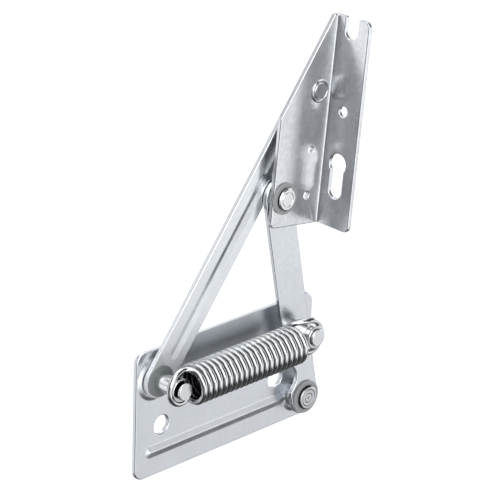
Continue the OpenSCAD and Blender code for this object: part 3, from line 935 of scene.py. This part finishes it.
# Where the painted shade begins towards the wire's inner side, and over how much of its depth it fades in
PAINTED_SHADE_FROM = 0.4
PAINTED_SHADE_FADE = 0.3

spring_span = np.linalg.norm(stud_e - pivot_a)
spring_heading = heading(stud_e - pivot_a)
hook_offset = COIL_R - CAD_WIRE_D / 2 - HOOK_SEAT_R - HOOK_PLAY / 2
coil_from = hook_offset + NEAR_NECK
coil_to = spring_span - hook_offset - FAR_NECK
coil_turns = math.floor((coil_to - coil_from) / (CAD_WIRE_D + COIL_GAP))
coil_pitch = (coil_to - coil_from) / coil_turns


def coil_point(turn):
    angle = 2 * math.pi * turn
    back = -COIL_FORWARD - COIL_R * math.sin(angle)
    return np.array([coil_from + coil_pitch * turn, back, COIL_R * math.cos(angle)])


def hook_point(angle):
    """A point of the near hook. Its end is tucked in, closer to the stud."""
    tucked = max(0, angle - HOOK_TUCK_FROM) / (HOOK_END - HOOK_TUCK_FROM)
    across, up = turned(COIL_R - HOOK_TUCK * tucked ** 2, angle)
    return np.array([hook_offset + across, 0, up])


def hook_path(join, coil_start, coil_ahead):
    """The near hook from its cut end to its join, and the bend from there to the start of the coils."""
    turns = [HOOK_END + (join - HOOK_END) * i / HOOK_RINGS for i in range(HOOK_RINGS)]
    joint = hook_point(join)
    across, up = turned(1, join - 90)
    reach = np.linalg.norm(coil_start - joint) * JOIN_REACH
    leaving = joint + reach * np.array([across, 0, up])
    arriving = coil_start - reach * coil_ahead
    bend = [
        (1 - t) ** 3 * joint + 3 * t * (1 - t) ** 2 * leaving
        + 3 * t ** 2 * (1 - t) * arriving + t ** 3 * coil_start
        for t in np.arange(BEND_RINGS) / BEND_RINGS
    ]
    return [hook_point(turn) for turn in turns] + bend


def spun(point):
    """The point turned half round the spring's upright middle line, which takes one end to the other."""
    return np.array([spring_span - point[0], -point[1], point[2]])


def spring_path():
    last_turn = coil_turns - LEAVE_TURN
    first, last = coil_point(LEAVE_TURN), coil_point(last_turn)
    after_first = unit(coil_point(LEAVE_TURN + NEXT_TURN) - first)
    before_last = unit(coil_point(last_turn - NEXT_TURN) - last)
    near = hook_path(NEAR_JOIN, first, after_first)
    far = hook_path(FAR_JOIN, spun(last), spun(last + before_last) - spun(last))
    steps = round((last_turn - LEAVE_TURN) * COIL_RINGS)
    coils = [coil_point(LEAVE_TURN + (last_turn - LEAVE_TURN) * i / steps) for i in range(steps + 1)]
    return np.array(near + coils + [spun(point) for point in far][::-1])


def tube(path, r):
    """Points and faces of a round wire along a path, with rounded cut ends."""
    ahead = np.gradient(path, axis=0)
    ahead /= np.linalg.norm(ahead, axis=1)[:, None]
    widths = np.full(len(path), r)
    widths[[0, -1]] = r - WIRE_END_R
    side = np.array([0.0, 1.0, 0.0])
    points, faces = [], []
    for place, along, width in zip(path, ahead, widths):
        side = unit(side - along * (side @ along))
        up = np.cross(along, side)
        for turn in np.arange(WIRE_SIDES) * 2 * math.pi / WIRE_SIDES:
            points.append(place + width * (math.cos(turn) * side + math.sin(turn) * up))
    last = len(points) - WIRE_SIDES
    for start in range(0, last, WIRE_SIDES):
        for i in range(WIRE_SIDES):
            near, far = start + i, start + (i + 1) % WIRE_SIDES
            faces.append((near, far, far + WIRE_SIDES, near + WIRE_SIDES))
    faces.append(tuple(range(WIRE_SIDES))[::-1])
    faces.append(tuple(range(last, len(points))))
    return np.array(points), faces


def coil_painted_shade(points):
    """How much shade is painted on each point of the wire between and inside the coils, from 0 to 1."""
    from_middle = np.linalg.norm(points[:, 1:] + (COIL_FORWARD, 0), axis=1)
    depth = 1 - (from_middle - COIL_R) / (WIRE_D / 2)
    past_near, before_far = points[:, 0] - coil_from, coil_to - points[:, 0]
    in_coils = ramp(past_near / COIL_R * 2) * ramp(before_far / COIL_R * 2)
    return np.clip((depth - PAINTED_SHADE_FROM) / PAINTED_SHADE_FADE, 0, 1) * in_coils


def add_spring():
    points, faces = tube(spring_path(), WIRE_D / 2)
    run = turned(1, spring_heading)
    along = np.array([run[0], 0, run[1]])
    up = np.array([-run[1], 0, run[0]])
    start = np.array([pivot_a[0], -SPRING_DEPTH, pivot_a[1]])
    placed = start + np.outer(points[:, 0], along) + np.outer(points[:, 2], up)
    placed[:, 1] += points[:, 1]
    mesh = bpy.data.meshes.new("coil_spring")
    mesh.from_pydata((placed * MM).tolist(), [], faces)
    mesh.polygons.foreach_set("use_smooth", [True] * len(mesh.polygons))
    # Painted shade between and inside the coils, as a point attribute
    painted_shade = mesh.attributes.new("painted_shade", "FLOAT", "POINT")
    painted_shade.data.foreach_set("value", coil_painted_shade(points))
    mesh.materials.append(chrome)
    piece = bpy.data.objects.new("coil_spring", mesh)
    bpy.context.scene.collection.objects.link(piece)
    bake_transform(piece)
    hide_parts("spring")


# Camera and lamps. Their places and sizes are in metres.

CAMERA_TARGET = Vector((15.07, -2.0, 61.47)) * MM
CAMERA_DISTANCE = 1.0756
CAMERA_AZIMUTH = math.radians(-46.74)
CAMERA_ELEVATION = math.radians(21.73)
CAMERA_ROLL = math.radians(1.94)
CAMERA_LENS = 194.87
CAMERA_SENSOR = 36
CAMERA_SIGHT = 50


def add_camera():
    back = Vector((
        math.sin(CAMERA_AZIMUTH) * math.cos(CAMERA_ELEVATION),
        -math.cos(CAMERA_AZIMUTH) * math.cos(CAMERA_ELEVATION),
        math.sin(CAMERA_ELEVATION),
    ))
    right = (-back).cross(Vector((0, 0, 1))).normalized()
    up = right.cross(-back)
    rolled_right = right * math.cos(CAMERA_ROLL) + up * math.sin(CAMERA_ROLL)
    rolled_up = up * math.cos(CAMERA_ROLL) - right * math.sin(CAMERA_ROLL)
    camera = bpy.data.objects.new("camera", bpy.data.cameras.new("camera"))
    camera.data.lens = CAMERA_LENS
    camera.data.sensor_width = CAMERA_SENSOR
    camera.data.clip_end = CAMERA_SIGHT
    axes = Matrix((rolled_right, rolled_up, back)).transposed().to_4x4()
    camera.matrix_world = Matrix.Translation(CAMERA_TARGET + back * CAMERA_DISTANCE) @ axes
    bpy.context.scene.collection.objects.link(camera)
    bpy.context.scene.camera = camera


def add_lamp(name, place, size, radiance):
    """A square softbox that faces the object, of a given brightness as the object sees it."""
    data = bpy.data.lights.new(name, "AREA")
    data.size = size
    data.energy = radiance * math.pi * size * size
    lamp = bpy.data.objects.new(name, data)
    lamp.location = place
    lamp.rotation_euler = (CAMERA_TARGET - Vector(place)).to_track_quat("-Z", "Y").to_euler()
    lamp.visible_glossy = False
    bpy.context.scene.collection.objects.link(lamp)


def add_lamps():
    add_lamp("top_softbox", (-0.3, -0.5, 1.4), size=1.0, radiance=1.4)
    add_lamp("key_softbox", (-0.9, -1.3, 0.7), size=0.9, radiance=1.0)
    add_lamp("back_softbox", (0.9, 1.1, 0.9), size=0.8, radiance=0.8)


# What the metal sees of the studio: dark walls with soft patches of light. Each patch has its
# direction, the cosines at which it starts and is full, and its strength.

STUDIO_BASE = 0.08
STUDIO_COLOUR = (0.97, 0.985, 1.0, 1)
EVEN_COLOUR = (0.75, 0.76, 0.78, 1)
EVEN_STRENGTH = 0.9
WHITE = (1, 1, 1, 1)

Patch = namedtuple("Patch", "direction start full strength")

STUDIO = [
    Patch((0.64, -0.66, -0.42), 0.90, 0.97, 0.72),
    Patch((0.74, -0.67, -0.03), 0.925, 0.985, 0.70),
    Patch((-0.05, -0.95, -0.25), 0.84, 0.97, 1.50),
    Patch((-0.50, -0.72, 0.45), 0.80, 0.93, 2.20),
    Patch((0.0, 0.0, 1.0), 0.72, 0.90, 1.40),
    Patch((0.45, 0.64, 0.62), 0.80, 0.95, 1.10),
    Patch((0.97, 0.0, 0.08), 0.88, 0.96, 1.60),
    Patch((-0.50, 0.60, 0.62), 0.88, 0.97, 0.42),
    Patch((-0.72, 0.65, 0.22), 0.83, 0.975, 0.64),
    Patch((-0.67, 0.63, -0.42), 0.90, 0.98, 0.80),
    Patch((-0.73, -0.60, -0.34), 0.85, 0.97, 0.25),
    Patch((0.0, 1.0, -0.25), 0.72, 0.93, 0.65),
    Patch((0.80, 0.50, -0.36), 0.82, 0.95, 0.50),
]


def add_world():
    """White for the camera, an even grey for the light, and the studio's patches for the metal."""
    world = bpy.data.worlds.new("studio")
    bpy.context.scene.world = world
    world.use_nodes = True
    tree = world.node_tree
    tree.nodes.clear()
    where = add_node(tree, "ShaderNodeTexCoord", {}).outputs["Generated"]
    ray = add_node(tree, "ShaderNodeLightPath", {})

    def background(colour, strength):
        inputs = {"Color": colour, "Strength": strength}
        return add_node(tree, "ShaderNodeBackground", inputs).outputs["Background"]

    def chosen(factor, first, second):
        return add_node(tree, "ShaderNodeMixShader", {0: factor, 1: first, 2: second}).outputs["Shader"]

    strength = STUDIO_BASE
    for patch in STUDIO:
        inputs = {0: where, 1: Vector(patch.direction).normalized()}
        facing = add_node(tree, "ShaderNodeVectorMath", inputs, operation="DOT_PRODUCT").outputs["Value"]
        glow = add_fade(tree, facing, patch.start, patch.full, 0.0, patch.strength)
        strength = add_sum(tree, glow, strength)
    even = background(EVEN_COLOUR, EVEN_STRENGTH)
    lit = chosen(ray.outputs["Is Glossy Ray"], even, background(STUDIO_COLOUR, strength))
    seen = chosen(ray.outputs["Is Camera Ray"], lit, background(WHITE, 1))
    add_node(tree, "ShaderNodeOutputWorld", {"Surface": seen})


FLOOR_Z = -0.25
FLOOR_HALF = 4.0
FLOOR_COLOUR = (0.86, 0.86, 0.86, 1)
FLOOR_ROUGHNESS = 0.9
FLOOR_LIFT = 0.35


def add_floor():
    """A plain pale floor, well below the hinge. The camera sees it as white and it keeps the shadow."""
    mesh = bpy.data.meshes.new("floor")
    corners = [(x * FLOOR_HALF, y * FLOOR_HALF, FLOOR_Z) for x, y in ((-1, -1), (1, -1), (1, 1), (-1, 1))]
    mesh.from_pydata(corners, [], [(0, 1, 2, 3)])
    floor = bpy.data.objects.new("floor", mesh)
    bpy.context.scene.collection.objects.link(floor)
    material = bpy.data.materials.new("pale_floor")
    material.use_nodes = True
    tree = material.node_tree
    seen = add_node(tree, "ShaderNodeLightPath", {}).outputs["Is Camera Ray"]
    lift = add_node(tree, "ShaderNodeMath", {0: seen, 1: FLOOR_LIFT}, operation="MULTIPLY")
    feed(tree, tree.nodes["Principled BSDF"], {
        "Base Color": FLOOR_COLOUR,
        "Roughness": FLOOR_ROUGHNESS,
        "Emission Color": WHITE,
        "Emission Strength": lift.outputs["Value"],
    })
    mesh.materials.append(material)
    floor.visible_glossy = False


bpy.context.scene.view_settings.view_transform = "Standard"
add_camera()
add_wall_plate()
add_long_arm()
add_lever()
add_bracket()
add_rivets()
add_rings()
add_spring()
add_world()
add_lamps()
add_floor()
